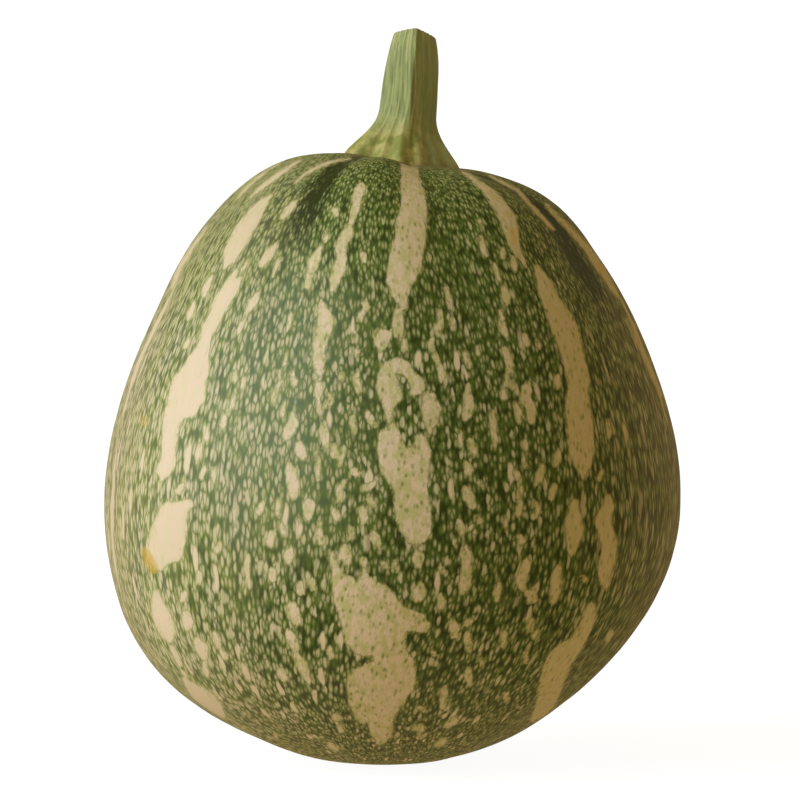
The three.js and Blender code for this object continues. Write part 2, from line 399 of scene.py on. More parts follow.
SPOTS = [
    # left of the middle, from the shoulder down
    [(296, 201, 2), (288, 210, 4.5), (283, 218, 2.5)], [(276, 245, 2.5), (270, 253, 5), (262, 264, 4)],
    [(281, 258, 2), (276, 268, 2.5), (273, 277, 1.5)], [(237, 270, 2), (231, 279, 4)],
    [(212, 276, 2), (208, 285, 4), (204, 295, 3)], [(249, 260, 1.5), (243, 270, 3)],
    [(361, 187, 5), (357, 199, 5.5), (354, 212, 4.5), (352, 222, 2.5), (347, 234, 6), (341, 246, 6),
     (342, 258, 4.5), (339, 268, 7), (335, 280, 6), (333, 288, 3.5)],
    [(335, 211, 4), (336, 215, 3)], [(327, 232, 2), (325, 240, 2.5)],
    [(321, 246, 2), (316, 258, 5.5), (312, 268, 5), (310, 273, 3)], [(310, 277, 4), (307, 286, 4)],
    [(363, 255, 4), (364, 259, 3.5)], [(258, 293, 2), (252, 303, 5), (247, 313, 3)],
    [(246, 318, 2), (240, 328, 3), (237, 334, 2)], [(291, 314, 2), (289, 326, 3), (287, 331, 1.5)],
    [(194, 303, 2), (190, 314, 4), (188, 319, 2.5)], [(190, 338, 2), (186, 346, 3.5)],
    [(321, 303, 3), (322, 311, 6), (326, 319, 9), (325, 326, 9), (322, 334, 8), (320, 342, 8),
     (319, 352, 6), (319, 362, 6.5), (320, 371, 5), (321, 377, 2)],
    [(365, 302, 4), (367, 306, 4.5)], [(361, 313, 3), (360, 319, 4)], [(356, 336, 3), (354, 341, 3.5)],
    [(357, 351, 3), (357, 356, 2.5)], [(358, 372, 3.5), (356, 379, 3.5), (358, 386, 4), (359, 391, 3.5)],
    [(341, 373, 3), (341, 379, 3)], [(286, 355, 2.5), (285, 363, 3)],
    [(292, 373, 3), (294, 381, 4), (293, 385, 2.5)],
    [(279, 370, 2), (279, 376, 2.5), (282, 384, 2.5)], [(277, 385, 2), (274, 395, 3.5), (273, 404, 2.5)],
    [(285, 401, 2), (283, 411, 3.5), (282, 417, 2)],
    [(293, 414, 2.5), (292, 424, 6), (288, 434, 6), (287, 438, 3)],
    [(318, 384, 3), (319, 391, 4.5), (317, 398, 3), (319, 406, 3.5), (320, 414, 3)],
    [(329, 395, 3), (332, 400, 3.5), (326, 406, 2)],
    [(324, 422, 3), (324, 431, 6), (325, 440, 5), (327, 446, 3.5)],
    [(353, 417, 3), (353, 424, 4), (354, 433, 3)], [(368, 414, 3.5), (371, 419, 4), (375, 425, 3)],
    [(299, 445, 5), (301, 451, 6.5), (303, 457, 4.5)], [(335, 446, 3), (334, 455, 3.5)],
    [(343, 448, 3), (341, 458, 4), (340, 465, 3)],
    [(316, 453, 3), (318, 464, 3), (319, 476, 3.5), (319, 480, 3)],
    [(289, 464, 3), (291, 472, 6.5), (293, 483, 7), (293, 492, 6), (292, 498, 3)],
    [(345, 481, 3), (341, 487, 3.5), (339, 493, 4), (339, 501, 3)], [(354, 471, 4.5), (358, 474, 4)],
    [(366, 488, 4), (372, 485, 4), (375, 482, 2.5)], [(370, 500, 4), (373, 504, 3.5)],
    [(309, 505, 7), (308, 512, 5), (308, 519, 2.5)], [(335, 512, 5), (337, 517, 5)],
    [(362, 510, 5), (364, 517, 5), (363, 524, 3)], [(299, 520, 3), (299, 529, 5), (298, 538, 3.5)],
    [(320, 523, 3.5), (319, 530, 3), (320, 537, 5), (321, 543, 4)], [(351, 530, 3.5), (352, 538, 3.5)],
    [(373, 531, 3), (374, 537, 6), (378, 543, 5), (381, 548, 3)],
    [(344, 547, 4), (346, 556, 6.5), (347, 564, 4)],
    [(280, 524, 4), (283, 531, 4.5), (284, 536, 2.5)], [(272, 534, 3.5), (270, 541, 4.5), (271, 546, 3)],
    [(291, 549, 3.5), (289, 556, 6), (288, 562, 4)], [(272, 571, 4.5), (273, 578, 5)],
    [(277, 500, 3), (278, 509, 4.5), (279, 516, 3)], [(262, 503, 3), (260, 512, 3.5)],
    [(300, 585, 3.5), (301, 592, 4)], [(307, 574, 2.5), (311, 582, 4), (314, 589, 3)],
    [(363, 560, 4), (365, 565, 3.5)], [(383, 564, 3), (387, 566, 3)], [(395, 563, 2.5), (397, 571, 3)],
    [(235, 371, 2.5), (234, 380, 3)], [(244, 379, 3), (242, 389, 2.5)],
    [(234, 396, 2), (232, 406, 3.5), (231, 411, 2)],
    [(225, 416, 2.5), (223, 424, 4), (222, 429, 2)], [(206, 427, 3), (206, 438, 4)],
    [(201, 445, 3), (199, 455, 4), (198, 463, 2.5)], [(214, 469, 3), (214, 476, 4), (213, 483, 2)],
    [(204, 469, 3), (201, 477, 3)], [(182, 486, 3.5), (178, 491, 4)],
    [(248, 556, 2.5), (247, 570, 3), (249, 588, 2.5)],
    [(220, 543, 3), (217, 550, 4)], [(199, 574, 3.5), (198, 582, 3)], [(184, 594, 4), (182, 600, 3)],
    [(186, 615, 5), (188, 622, 6.5), (188, 628, 4)], [(197, 640, 4), (201, 648, 7), (204, 656, 5)],
    [(214, 634, 3), (217, 641, 4.5), (219, 647, 3)], [(221, 652, 3), (225, 656, 4)],
    [(204, 663, 3), (206, 671, 4), (208, 677, 2)], [(172, 648, 3), (175, 655, 4), (180, 665, 2.5)],
    [(242, 664, 2), (245, 671, 4), (248, 679, 3)], [(281, 672, 5), (284, 678, 4.5)],
    [(292, 606, 5), (294, 614, 7), (296, 622, 5)], [(288, 632, 3.5), (292, 639, 6), (296, 648, 5)],
    [(296, 655, 3.5), (301, 664, 6), (305, 673, 5), (309, 682, 3)], [(329, 650, 4), (331, 656, 4)],
    [(335, 717, 4), (338, 719, 3.5)], [(340, 726, 3.5), (341, 731, 3)], [(330, 745, 3), (336, 749, 3)],
    # right of the middle, from the shoulder down
    [(404, 341, 4), (404, 349, 4)], [(440, 311, 3), (440, 320, 4), (438, 329, 4), (438, 335, 2.5)],
    [(447, 288, 3), (449, 299, 3.5), (451, 308, 2)], [(452, 320, 3), (453, 329, 2.5)],
    [(432, 339, 2.5), (430, 345, 4), (432, 349, 3)], [(464, 351, 2.5), (467, 359, 4), (470, 367, 3)],
    [(435, 356, 3), (438, 362, 2.5), (442, 374, 4.5), (441, 380, 3)], [(477, 347, 2.5), (478, 354, 3)],
    [(480, 220, 2.5), (483, 230, 2)], [(481, 238, 3), (483, 247, 3.5), (486, 255, 2.5)],
    [(503, 249, 2.5), (503, 257, 3)], [(513, 258, 3), (514, 265, 4), (515, 270, 2.5)],
    [(494, 264, 2), (497, 272, 3), (500, 281, 2.5)], [(504, 289, 3.5), (506, 296, 5), (507, 303, 3)],
    [(501, 310, 2.5), (503, 318, 3)], [(500, 323, 3), (504, 330, 4.5), (507, 336, 2.5)],
    [(525, 337, 4), (527, 344, 4)], [(504, 350, 4), (508, 359, 4.5), (511, 368, 3.5), (513, 372, 2)],
    [(506, 374, 2.5), (507, 385, 3.5)], [(513, 379, 2), (514, 387, 2.5)], [(538, 343, 3), (540, 348, 2.5)],
    [(528, 384, 3), (526, 391, 6.5), (525, 397, 6), (530, 405, 5), (532, 413, 5.5), (531, 421, 3.5)],
    [(515, 404, 2.5), (518, 412, 4.5), (519, 421, 3.5)], [(503, 392, 3), (504, 398, 3.5)],
    [(557, 378, 4), (558, 384, 4.5), (558, 388, 2.5)],
    [(492, 412, 3), (493, 425, 4), (495, 438, 4), (495, 446, 2.5)],
    [(468, 386, 3), (468, 395, 5), (469, 405, 6), (467, 414, 5), (465, 419, 3)],
    [(461, 432, 2), (460, 440, 3.5), (460, 446, 2)], [(470, 441, 4), (473, 450, 4.5), (474, 455, 3)],
    [(467, 464, 4), (469, 470, 5.5), (470, 475, 3)], [(466, 489, 3.5), (469, 497, 6), (472, 505, 4.5)],
    [(479, 482, 3), (483, 486, 2.5)], [(477, 517, 3), (480, 521, 3)],
    [(459, 523, 4), (462, 530, 4), (462, 535, 2)],
    [(471, 527, 2.5), (475, 533, 3)], [(417, 551, 3), (418, 558, 6.5), (419, 565, 4)],
    [(420, 580, 2), (420, 587, 5), (419, 594, 8), (417, 598, 5)],
    [(440, 596, 3), (442, 603, 5), (441, 608, 4)],
    [(464, 546, 3), (466, 555, 6), (467, 565, 6), (466, 575, 6), (464, 585, 6.5), (463, 592, 4)],
    [(440, 565, 2.5), (443, 572, 3)], [(452, 623, 4), (454, 629, 5.5), (454, 636, 4)],
    [(466, 624, 3.5), (470, 621, 3.5)], [(468, 634, 3.5), (468, 641, 5), (469, 650, 3.5)],
    [(467, 670, 3.5), (469, 677, 4.5), (470, 684, 3)], [(444, 688, 3), (443, 697, 4.5), (443, 706, 4)],
    [(448, 725, 4), (454, 721, 4.5)], [(415, 728, 4), (421, 728, 4), (419, 735, 2)],
    [(436, 745, 3), (444, 741, 4)],
    [(432, 651, 3), (435, 655, 3)], [(481, 659, 3), (482, 666, 3)], [(419, 707, 3), (424, 710, 3)],
    [(516, 472, 3.5), (519, 477, 4), (520, 482, 2.5)],
    [(521, 487, 2.5), (519, 496, 3.5), (520, 504, 3.5), (518, 514, 3.5)],
    [(536, 504, 3), (538, 511, 3.5), (534, 517, 3)], [(555, 486, 3), (552, 493, 3.5), (551, 498, 3)],
    [(543, 465, 2.5), (540, 475, 4), (537, 484, 3)], [(559, 451, 3), (557, 459, 4), (556, 465, 3)],
    [(601, 472, 2.5), (599, 479, 3)], [(524, 458, 3), (526, 466, 3)], [(525, 443, 3.5), (525, 450, 3)],
    [(527, 563, 5), (524, 572, 5.5), (521, 581, 5), (523, 588, 4)], [(527, 592, 4), (530, 600, 4)],
    [(518, 535, 3.5), (522, 541, 4)], [(533, 592, 4), (536, 600, 4)], [(505, 521, 3), (506, 530, 2.5)],
    [(499, 583, 3), (497, 592, 4), (496, 600, 3)],
    [(558, 568, 4), (557, 576, 5.5), (556, 586, 5.5), (554, 596, 5), (553, 602, 3)],
    [(581, 577, 3), (585, 580, 3)], [(532, 621, 3.5), (529, 629, 4)], [(538, 630, 3), (534, 637, 3.5)],
    [(504, 632, 3), (503, 640, 3.5), (503, 647, 2.5)], [(526, 653, 3), (527, 661, 3)],
    [(506, 695, 3.5), (507, 700, 3)],
    [(607, 420, 2.5), (609, 432, 2.5), (608, 438, 2)], [(623, 424, 2), (626, 437, 2.5), (627, 446, 1.5)],
    [(611, 632, 3), (608, 640, 2.5)],
]
STAINS = [
    [(145, 551, 3.5), (149, 561, 5.5), (154, 570, 4)], [(144, 418, 1.5), (144, 424, 1.5)],
    [(512, 230, 2), (514, 238, 3), (515, 243, 2)], [(598, 264, 1.5), (602, 272, 2)],
    [(650, 357, 1), (651, 363, 1)],
]
print(len(RIDGE_BLOTCHES), "blotch strokes and", len(SPOTS), "spots in the picture")

# %% [markdown]
# ## Marks on the sides that the picture hides
# The back carries on the same habit: pale stripes on its ridges, broken into blotches of different
# length. A seeded random walk down each ridge lays them, so every run makes the same fruit. A ray
# from the axis outwards finds the skin at each step.

# %% Marks round the back
HIDDEN_RIDGES = [-106, -140, 175, 130, 93]    # degrees round from the camera's side
LIMB_RIDGES = [-75, 77]                       # two that are seen edge on, with narrower stripes
STROKE_STEPS = 10
LOWEST_MARK = 6 * MM
rng = random.Random(7)
rind_tree = BVHTree.FromObject(rind, bpy.context.evaluated_depsgraph_get())


def skin_point(turn, height):
    """The point of the rind at a turn in degrees and a height in metres."""
    way = Vector((math.sin(math.radians(turn)), -math.cos(math.radians(turn)), 0))
    return rind_tree.ray_cast(Vector((0, 0, height)), way)[0]


def blotches_down(ridge, top, bottom, widest):
    """Strokes of (x, y, z, half width) in metres, from the top of a ridge to the bottom."""
    strokes = []
    height = top
    while height > bottom:
        length = rng.uniform(20, 52) * MM
        width = rng.uniform(0.45, 1) * widest
        stroke = []
        side = ridge
        for step in range(STROKE_STEPS + 1):
            swell = (0.1 + math.sin(math.pi * step / STROKE_STEPS)) ** 0.7 * rng.uniform(0.7, 1.1)
            level = max(height - length * step / STROKE_STEPS, LOWEST_MARK)
            side += rng.uniform(-0.8, 0.8)
            stroke.append((*skin_point(side, level), width * swell))
        strokes.append(stroke)
        height -= length + rng.uniform(3, 14) * MM
    return strokes


hidden_blotches = []
for ridge in HIDDEN_RIDGES:
    hidden_blotches += blotches_down(ridge, 172 * MM, 16 * MM, 7 * MM)
for ridge in LIMB_RIDGES:
    hidden_blotches += blotches_down(ridge, 150 * MM, 95 * MM, 4.5 * MM)
print(len(hidden_blotches), "blotch strokes round the back")

# %% [markdown]
# ## From strokes to a distance
# Every corner of the rind now stores how far it lies from the edge of the nearest mark, in
# millimetres and negative inside. A distance blends cleanly between corners, so the finish can
# draw a crisp, ragged edge much finer than the mesh. The stains are kept in the same way. A third
# value says how far a corner turns from the camera: loose spots fill in where that grows.

# %% Store the distances
FAR = 12.0                                # what corners far from every mark keep, in millimetres
EDGE_ON = 0.08                            # corners that face the camera less are not painted by pixels


def edge_distance(points, stroke):
    """Distance from points to the edge of a stroke, negative inside; in the stroke's own units."""
    nearest = np.full(len(points), np.inf)
    for (*start, start_width), (*end, end_width) in zip(stroke, stroke[1:]):
        start, run = np.array(start), np.array(end) - np.array(start)
        share = np.clip((points - start) @ run / (run @ run), 0, 1)
        gap = np.linalg.norm(points - start - share[:, None] * run, axis=1)
        nearest = np.minimum(nearest, gap - blend(start_width, end_width, share))
    return nearest


places, outward = corners_of(rind)
towards = np.array(camera.location) - places
facing = (outward * towards).sum(axis=1) / np.linalg.norm(towards, axis=1)
shown = facing > EDGE_ON
shown_pixels = pixels_of(places[shown])

blotch = np.full(len(places), FAR)
for stroke in hidden_blotches:
    blotch = np.minimum(blotch, edge_distance(places, stroke) / MM)
in_picture = blotch[shown]
for stroke in RIDGE_BLOTCHES + SPOTS:
    in_picture = np.minimum(in_picture, edge_distance(shown_pixels, stroke) * PIXEL / MM)
blotch[shown] = in_picture
store(rind, "blotch", blotch)
stain = np.full(len(places), FAR)
for stroke in STAINS:
    stain[shown] = np.minimum(stain[shown], edge_distance(shown_pixels, stroke) * PIXEL / MM)
store(rind, "stain", stain)
store(rind, "hidden", 1 - smoothstep(facing, 0.05, 0.25))
print("share of corners inside a mark:", round(float((blotch < 0).mean()), 3))

# %% [markdown]
# ## A way to write finishes
# A finish is a tree of shader nodes. `Wire` wraps a socket, so that `1 - mask` or `depth * 0.5`
# adds the Math nodes by itself, and `Finish.node` makes any other node from its type, its settings
# and its sockets. Colours are blended with Mix nodes, because Math would turn them grey.

# %% Finish and Wire
class Wire:
    """A socket of a finish, with arithmetic."""

    def __init__(self, finish, socket):
        self.finish, self.socket = finish, socket

    def maths(self, operation, *values):
        return self.finish.node("ShaderNodeMath", {"operation": operation}, dict(enumerate(values)))

    def __add__(self, other):
        return self.maths("ADD", self, other)

    def __sub__(self, other):
        return self.maths("SUBTRACT", self, other)

    def __rsub__(self, other):
        return self.maths("SUBTRACT", other, self)

    def __mul__(self, other):
        return self.maths("MULTIPLY", self, other)

    __radd__, __rmul__ = __add__, __mul__

    def least(self, other):
        return self.maths("MINIMUM", self, other)

    def most(self, other):
        return self.maths("MAXIMUM", self, other)

    def rise(self, low, high):
        """0 up to low and 1 from high on, softly; falls if low is the greater."""
        return self.finish.node(
            "ShaderNodeMapRange", {"interpolation_type": "SMOOTHSTEP"},
            {"Value": self, "From Min": low, "From Max": high})

    def other(self, output):
        """Another output of the node that this wire leaves."""
        return Wire(self.finish, self.socket.node.outputs[output])


class Finish:
    """A material that is built node by node."""

    def __init__(self, name):
        self.material = bpy.data.materials.new(name)
        self.material.use_nodes = True
        self.tree = self.material.node_tree
        self.shader = self.tree.nodes["Principled BSDF"]

    def node(self, kind, settings=None, sockets=None, output=0):
        """Makes a node: its settings first, then the values or links of its sockets."""
        made = self.tree.nodes.new(kind)
        for setting, value in (settings or {}).items():
            setattr(made, setting, value)
        for name, value in (sockets or {}).items():
            self.plug(made.inputs[name], value)
        return Wire(self, made.outputs[output])

    def plug(self, socket, value):
        if isinstance(value, Wire):
            self.tree.links.new(value.socket, socket)
        elif socket.type == "RGBA":
            socket.default_value = (*value, 1)
        else:
            socket.default_value = value

    def mix(self, share, first, second):
        """Colour between first and second."""
        return self.node("ShaderNodeMix", {"data_type": "RGBA"}, {0: share, 6: first, 7: second}, 2)

    def attribute(self, name, output="Fac"):
        return self.node("ShaderNodeAttribute", {"attribute_name": name}, {}, output)

    def noise(self, vector, size, detail=2.0):
        """Soft noise around 0.5, with features of about the given size."""
        return self.node("ShaderNodeTexNoise", {}, {"Vector": vector, "Scale": 1 / size, "Detail": detail})

    def cells(self, vector, size, feature="F1", scatter=1.0):
        """Distance to the middle of the nearest cell, in cell sizes; its Color is a random per cell."""
        return self.node("ShaderNodeTexVoronoi", {"feature": feature},
                         {"Vector": vector, "Scale": 1 / size, "Randomness": scatter})

    def scaled(self, vector, factors):
        return self.node("ShaderNodeVectorMath", {"operation": "MULTIPLY"}, {0: vector, 1: factors})

    def stirred(self, vector, size, amount):
        """The vector pushed about by noise, so that cells lose their straight edges."""
        push = self.noise(vector, size).other("Color")
        centred = self.node("ShaderNodeVectorMath", {"operation": "SUBTRACT"}, {0: push, 1: (0.5,) * 3})
        moved = self.scaled(centred, (amount,) * 3)
        return self.node("ShaderNodeVectorMath", {"operation": "ADD"}, {0: vector, 1: moved})

    def red_of(self, colour):
        return self.node("ShaderNodeSeparateColor", {}, {"Color": colour}, "Red")

    def wear(self, piece, **sockets):
        """Sets the shader's sockets, by name with _ for a space, and puts the finish on a piece."""
        for name, value in sockets.items():
            self.plug(self.shader.inputs[name.replace("_", " ")], value)
        piece.data.materials.append(self.material)
        self.count()

    def count(self):
        """Prints how many nodes there are by now."""
        print(self.material.name, "has", len(self.tree.nodes), "nodes")


# %% [markdown]
# ## The rind's pattern
# Close up, the rind is dark green with countless pale flecks, drawn out along the ribs. Modelling
# or painting them one by one is out of the question, so cell noise makes them: a fleck is the
# middle of a cell, with a green halo round it. Three sizes lie over each other, and a random value
# per cell says how pale a fine one is, and which of the larger ones show at all. The marks lie on
# top. Noise makes their edges ragged, and the flecks fade out there. On the hidden sides, a fourth
# set of large cells takes the place of the spots.

# %% Rind finish: marks
SPOT_CELL = 8.5                           # size of the cells, in millimetres of growth
OUT_OF_REACH = 20                         # keeps the loose spots off the side that was painted

skin = Finish("mottled rind")
grown_place = skin.attribute("growth", "Vector")
hidden = skin.attribute("hidden")
side = skin.node("ShaderNodeSeparateXYZ", {}, {"Vector": grown_place}, "X")    # mm to the right
# painted light: this mask marks the lit left, where the flecks are paler and larger
sunny = side.rise(5, -80)                 # 0 from the middle to the right, 1 at the left edge

spot_cells = skin.cells(skin.scaled(skin.stirred(grown_place, 7.0, 3.0), (1, 1, 0.62)), SPOT_CELL)
spot_luck = skin.red_of(spot_cells.other("Color"))
loose_spot = (spot_cells - spot_luck.rise(0.35, 1.0) * 0.30) * SPOT_CELL + (1 - hidden) * OUT_OF_REACH
edge = skin.attribute("blotch").least(loose_spot)
edge = edge + (skin.noise(grown_place, 2.4) - 0.5) * 1.5 + (skin.noise(grown_place, 0.9) - 0.5) * 1.3
mark = edge.rise(0.45, -0.60)
depth = 0 - edge
seam = edge.rise(-0.3, 0.4)
skin.count()

# %% Rind finish: flecks
SCATTER = 0.8                             # how far the middles of cells stray from an even grid
FINE_CELL = 1.3
MIDDLING_CELL = 1.9
BROAD_CELL = 3.0


def flecks(place, size, reach, thread):
    """How far inside a rounded fleck a point lies, in cell sizes, the fleck's random value and how
    far the nearest border between two cells is."""
    middle = skin.cells(place, size, scatter=SCATTER)
    border = skin.cells(place, size, "DISTANCE_TO_EDGE", SCATTER)
    return (reach - middle).least(border - thread), skin.red_of(middle.other("Color")), border


streak = skin.noise(skin.scaled(grown_place, (1, 1, 0.12)), 1.7) - 0.5
crown = skin.attribute("crown")
painted_sheen = skin.attribute("painted_sheen")
fine_reach = 0.44 + sunny * 0.09 + painted_sheen * 0.06 + streak * 0.25
in_fine, fine_luck, border = flecks(skin.stirred(grown_place, 1.2, 0.6), FINE_CELL, fine_reach, 0.03)
halo = in_fine.rise(-0.32, 0.10)
fine = (in_fine + sunny * 0.05).rise(-0.04, 0.30)
middling_place = skin.stirred(grown_place, 2.0, 1.0)
in_middling, middling_luck, _ = flecks(middling_place, MIDDLING_CELL, 0.41 + streak * 0.3, 0.08)
middling = in_middling.rise(-0.08, 0.18) * (middling_luck - crown * 0.3).rise(0.58, 0.68)
broad_place = skin.scaled(skin.stirred(grown_place, 3.0, 1.6), (1, 1, 0.8))
in_broad, broad_luck, _ = flecks(broad_place, BROAD_CELL, 0.41, 0.10)
broad = in_broad.rise(-0.06, 0.12) * (broad_luck - crown * 0.3).rise(0.82, 0.88)
skin.count()

# %% [markdown]
# ## The rind's colours
# The ground wanders between deep green and leaf green, under a painted sheen that is thickest on the
# lit left and bluish in a patch left of the middle. Beside the blotches it turns yellow-green; painted
# shade makes it brown with tan streaks on the right and nearly black in the furrows of the shoulder.
# The flecks go over it, cream on the lit left, duller in the painted shade on the right and at the
# crown. The blotches are cream with a yellowish rim and a pinkish middle, ochre in the painted shade
# on the right, and hold specks of olive green. Mixing the layers one over the other keeps each of
# them easy to tune.

# %% Rind finish: colours of the ground
DEEP_GREEN = (0.030, 0.043, 0.005)
FURROW_SHADE_GREEN = (0.018, 0.028, 0.002)
LEAF_GREEN = (0.075, 0.130, 0.012)
SHEEN_GREEN = (0.175, 0.205, 0.085)
SHEEN_BLUE_GREEN = (0.120, 0.185, 0.085)
YELLOW_GREEN = (0.22, 0.26, 0.06)
SHADE_BROWN = (0.056, 0.044, 0.012)
TAN = (0.40, 0.30, 0.17)

ground = skin.mix(skin.noise(grown_place, 1.8, 3.0).rise(0.45, 0.78), DEEP_GREEN, LEAF_GREEN)
# painted sheen: a pale haze for the key light's soft reflection, thickest on the lit left
sheen_share = (sunny * 0.7 + painted_sheen * 0.6 + skin.noise(grown_place, 13.0) * 0.5 - 0.35).rise(0.0, 0.8)
ground = skin.mix(sheen_share * (0.65 - crown * 0.35), ground, skin.mix(painted_sheen, SHEEN_GREEN, SHEEN_BLUE_GREEN))
beside = edge.rise(1.5, 0.0) * (skin.noise(grown_place, 9.0) * 0.7 + sunny * 0.4).rise(0.45, 0.75)
ground = skin.mix(beside * 0.4, ground, YELLOW_GREEN)
# painted shade: the ground turns brown towards the right, with tan streaks along it there
ground = skin.mix(side.rise(45, 80) * 0.7, ground, SHADE_BROWN)
ground = skin.mix(side.rise(48, 78) * streak.rise(0.02, 0.14) * 0.2, ground, TAN)
# painted shade: the furrows of the shoulder turn nearly black, and their flecks are hidden
furrow_shade = skin.attribute("furrow")
ground = skin.mix(furrow_shade.rise(0.1, 0.7), ground, FURROW_SHADE_GREEN)
skin.count()

# %% Rind finish: colours of the flecks
HALO_GREEN = (0.115, 0.165, 0.032)
HALO_YELLOW = (0.24, 0.285, 0.065)
MUTED_GREEN = (0.30, 0.28, 0.13)
CROWN_GREEN = (0.33, 0.34, 0.12)
PALE_GREEN = (0.48, 0.445, 0.26)
FLECK_CREAM = (0.61, 0.52, 0.33)

in_open = seam * (furrow_shade + streak * 2.2).rise(0.85, 0.1)
# painted light and shade: flecks are cream on the lit left, duller and fewer broad ones in the shade on the
# right; at the crown they are duller in colour
shaded = side.rise(22, 78)
faint_colour = skin.mix(sunny, MUTED_GREEN, PALE_GREEN)
fleck_colour = skin.mix(fine_luck, faint_colour, skin.mix(sunny, PALE_GREEN, FLECK_CREAM))
dull_green = skin.mix(crown, MUTED_GREEN, CROWN_GREEN)
dulled_by_shade_and_crown = (shaded * 0.8).most(crown * 0.75)
tint = skin.noise(skin.scaled(grown_place, (1, 1, 0.5)), 5.0).rise(0.4, 0.6)
halo_colour = skin.mix(sunny, HALO_GREEN, skin.mix(tint, HALO_YELLOW, SHEEN_GREEN))
flecked = skin.mix(halo * in_open * 0.85, ground, halo_colour)
flecked = skin.mix(fine * in_open * 0.9, flecked, skin.mix(dulled_by_shade_and_crown, fleck_colour, dull_green))
flecked = skin.mix(middling * in_open, flecked, skin.mix(dulled_by_shade_and_crown * 0.8, PALE_GREEN, dull_green))
flecked = skin.mix(broad * in_open * (1 - shaded * 0.6), flecked, FLECK_CREAM)
skin.count()

# %% Rind finish: colours of the marks
RIM_YELLOW = (0.44, 0.43, 0.17)
CREAM = (0.62, 0.53, 0.345)
PINK_CREAM = (0.64, 0.51, 0.36)
OCHRE = (0.49, 0.40, 0.17)
OLIVE = (0.14, 0.175, 0.025)
MUSTARD = (0.50, 0.33, 0.05)
SPECK_CELL = 1.7

lines = border.rise(0.13, 0.0)
round_place = skin.scaled(grown_place, (1, 1, 1.5))
specks = skin.cells(skin.stirred(round_place, 1.0, 0.8), SPECK_CELL).rise(0.42, 0.12)
speckled = (skin.noise(grown_place, 11.0) * 0.8 + side.rise(-55, 5) * 0.6).rise(0.40, 0.80)
mottle = skin.noise(round_place, 2.2, 3.0).rise(0.38, 0.62)
mottled = skin.mix(mottle * (0.1 + speckled * 0.7), CREAM, RIM_YELLOW)
pale = skin.mix(depth.rise(-0.3, 0.6), RIM_YELLOW, mottled)
pale = skin.mix(depth.rise(0.1, 1.3) * (1 - mottle) * (0.8 - speckled * 0.35), pale, PINK_CREAM)
pale = skin.mix(lines * (depth.rise(2.0, 0.2) * 0.3 + speckled * 0.15), pale, YELLOW_GREEN)
# painted shade: the blotches turn ochre on the shaded right; they are a little ochre at the crown too
pale = skin.mix((crown * 0.25).most(side.rise(15, 60) * 0.6), pale, OCHRE)
pale = skin.mix(specks * speckled * (0.3 + mottle * 0.45), pale, OLIVE)
rind_colour = skin.mix(mark, flecked, pale)
# painted edge light: both edges, where the rind is seen edge on, turn warm tan; the rind is also a little
# tan left of the crown and on the belly
edge_light_and_tan = side.rise(-68, -89) * 0.3 + side.rise(70, 89) * 0.15
edge_light_and_tan = edge_light_and_tan + crown.rise(0.5, 1.0) * side.rise(-24, -60) * 0.1
edge_light_and_tan = edge_light_and_tan + skin.attribute("belly") * 0.1
rind_colour = skin.mix(edge_light_and_tan, rind_colour, TAN)
rind_colour = skin.mix(skin.attribute("stain").rise(0.8, -0.6) * 0.65, rind_colour, MUSTARD)
skin.count()

# %% [markdown]
# ## Scar, collar and gloss
# Under the fruit, the scar of the flower is brown cork. Round the foot of the stalk the rind is
# brown, partly a stain and partly painted shade where the stalk meets it. The skin is waxy: a satin
# gloss that varies a little from place to place, with a faint relief of pores and raised marks. These
# are too shallow to model, so a bump gives them.

# %% Rind finish: scar, collar and gloss
CORK = (0.16, 0.10, 0.05)
STAIN_AND_SHADE_BROWN = (0.17, 0.125, 0.05)
PER_METRE = 1000                          # finishes reckon in millimetres
STALK_MIDDLE = (2.6, 0, 0)                # where the stalk stands on the crown

position = skin.node("ShaderNodeTexCoord", {}, {}, "Object")
level = skin.node("ShaderNodeSeparateXYZ", {}, {"Vector": position}, "Z") * PER_METRE
flat = skin.scaled(position, (PER_METRE, PER_METRE, 0))
from_axis = skin.node("ShaderNodeVectorMath", {"operation": "LENGTH"}, {0: flat}, "Value")
from_stalk = skin.node(
    "ShaderNodeVectorMath", {"operation": "DISTANCE"}, {0: flat, 1: STALK_MIDDLE}, "Value")
grit = skin.noise(grown_place, 1.2)
scar = (from_axis + grit * 4).rise(10.0, 7.5) * level.rise(20, 10)
# painted shade and a real brown stain: the rind turns brown round the foot of the stalk
collar = (from_stalk + grit * 9).rise(34, 22) * level.rise(150, 160)
rind_colour = skin.mix(collar * 0.75, rind_colour, STAIN_AND_SHADE_BROWN)
rind_colour = skin.mix(scar, rind_colour, skin.mix(grit, STAIN_AND_SHADE_BROWN, CORK))

relief = mark * 0.25 + skin.noise(grown_place, 0.8, 1.0) * 0.35 + skin.noise(grown_place, 3.5) * 0.6
rind_normal = skin.node("ShaderNodeBump", {}, {"Strength": 0.35, "Distance": 0.15 * MM, "Height": relief})
rind_roughness = skin.noise(grown_place, 18.0) * 0.16 + grit * 0.08 + 0.40 + scar * 0.3
skin.wear(
    rind, Base_Color=rind_colour, Roughness=rind_roughness, Normal=rind_normal, Specular_IOR_Level=0.17)

# %% [markdown]
# ## The stalk's shape
# The stalk has five angles, with flat striped sides between them, spreads into lobes at its foot
# and ends in a slanting cut. It is spun like the fruit and then pressed into a pentagon. A ray
# dropped on the crown sets the height of its foot all round, a little sunk, so that no gap shows.

